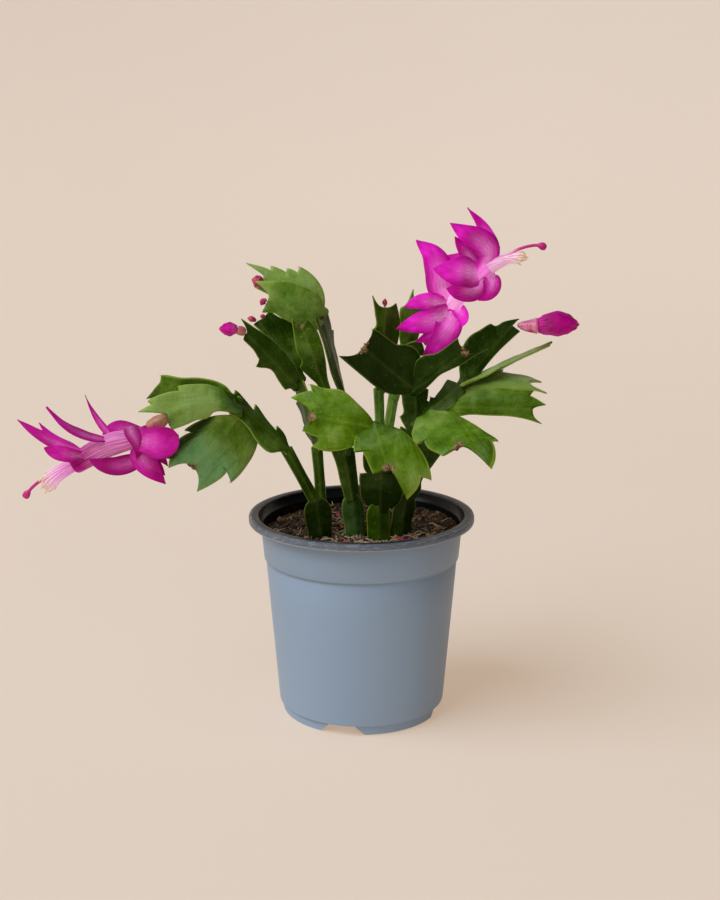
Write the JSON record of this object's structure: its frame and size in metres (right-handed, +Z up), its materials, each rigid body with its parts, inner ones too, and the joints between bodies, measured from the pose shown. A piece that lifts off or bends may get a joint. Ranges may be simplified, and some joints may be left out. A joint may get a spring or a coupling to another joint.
{
  "type": "potted christmas cactus",
  "caption": "Christmas cactus in a thin-walled grow pot: flat toothed leaf segments on branching cuttings, open tiered magenta flowers with long stamens, and buds.",
  "frame": {"origin": "centre of the pot's flat foot disc, on the surface that the pot stands on", "axes": "+Z up, +X to the right and -Y towards the viewer of the pictured side; the right flower points along +X and the left flower along -X"},
  "size_m": [0.2553, 0.105, 0.2343],
  "materials": {
    "pot": "thin grey moulded plastic, slightly worn",
    "soil": "moist coarse peat with fibres",
    "leaf": "waxy green succulent leaf, half gloss",
    "dark_leaf": "waxy dark green succulent leaf, half gloss",
    "ovary": "smooth pinkish brown plant tissue",
    "petal": "satin magenta petal with a pale base",
    "stamen": "pale pink threads with cream anthers",
    "style": "magenta thread with a sticky tip",
    "bud": "satin magenta bud"
  },
  "bodies": {
    "root": {"pot": "pot", "soil": "soil", "cutting_left": "leaf", "cutting_middle": "leaf", "cutting_front": "leaf", "cutting_right": "dark_leaf", "cutting_back": "dark_leaf", "left_flower_ovary": "ovary", "left_flower_petals": "petal", "left_flower_stamens": "stamen", "left_flower_style": "style", "right_flower_ovary": "ovary", "right_flower_petals": "petal", "right_flower_stamens": "stamen", "right_flower_style": "style", "right_bud_ovary": "ovary", "right_bud": "bud", "left_bud_ovary": "ovary", "left_bud": "bud", "top_bud": "bud", "front_bud": "bud", "side_bud": "bud", "low_bud": "bud", "back_bud": "bud"}
  },
  "joints": []
}
